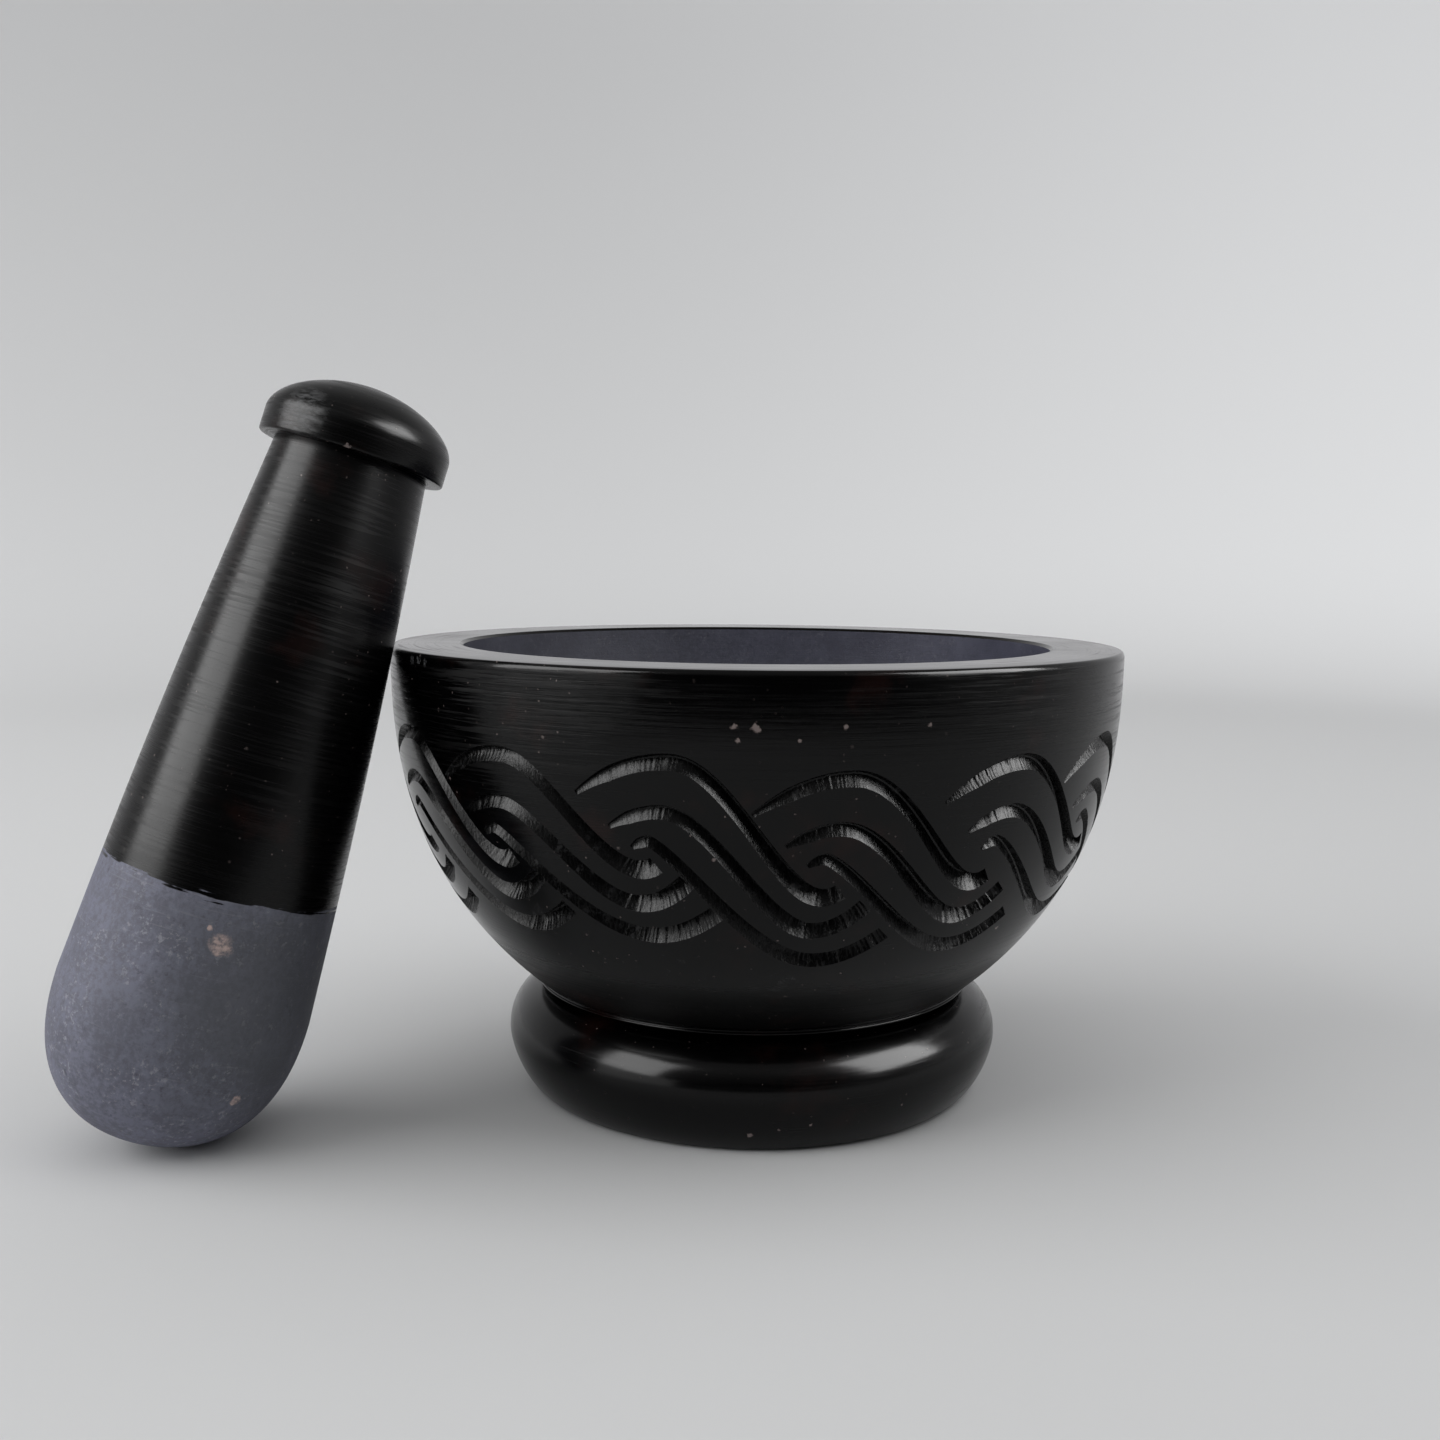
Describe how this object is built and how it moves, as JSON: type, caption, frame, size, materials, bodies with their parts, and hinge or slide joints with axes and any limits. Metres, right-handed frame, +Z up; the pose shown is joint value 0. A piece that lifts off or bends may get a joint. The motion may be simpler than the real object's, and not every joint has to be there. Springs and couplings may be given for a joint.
{
  "type": "mortar and pestle",
  "caption": "Footed stone mortar with a thick flat rim and a carved braid band, and a tapered pestle with a mushroom cap, for grinding herbs and spices by hand.",
  "frame": {"origin": "centre of the mortar's flat base, on the table", "axes": "+Z up along the mortar's axis; the pestle leans on the rim from -X, and +Y points away from the side that shows it on the left"},
  "size_m": [0.1396, 0.102, 0.0967],
  "materials": {
    "mortar_stone": "near-black soapstone, polished outside and on the rim, left raw blue-grey inside the hollow",
    "pestle_stone": "near-black soapstone, polished on the cap and handle, left raw blue-grey on the grinding end"
  },
  "bodies": {
    "mortar": {"mortar": "mortar_stone"},
    "pestle": {"pestle": "pestle_stone"}
  },
  "joints": [
    {"name": "pestle_lift", "type": "slide", "parent": "mortar", "child": "pestle", "axis": [0, 0, 1], "range_m": [0, 0.1]}
  ]
}
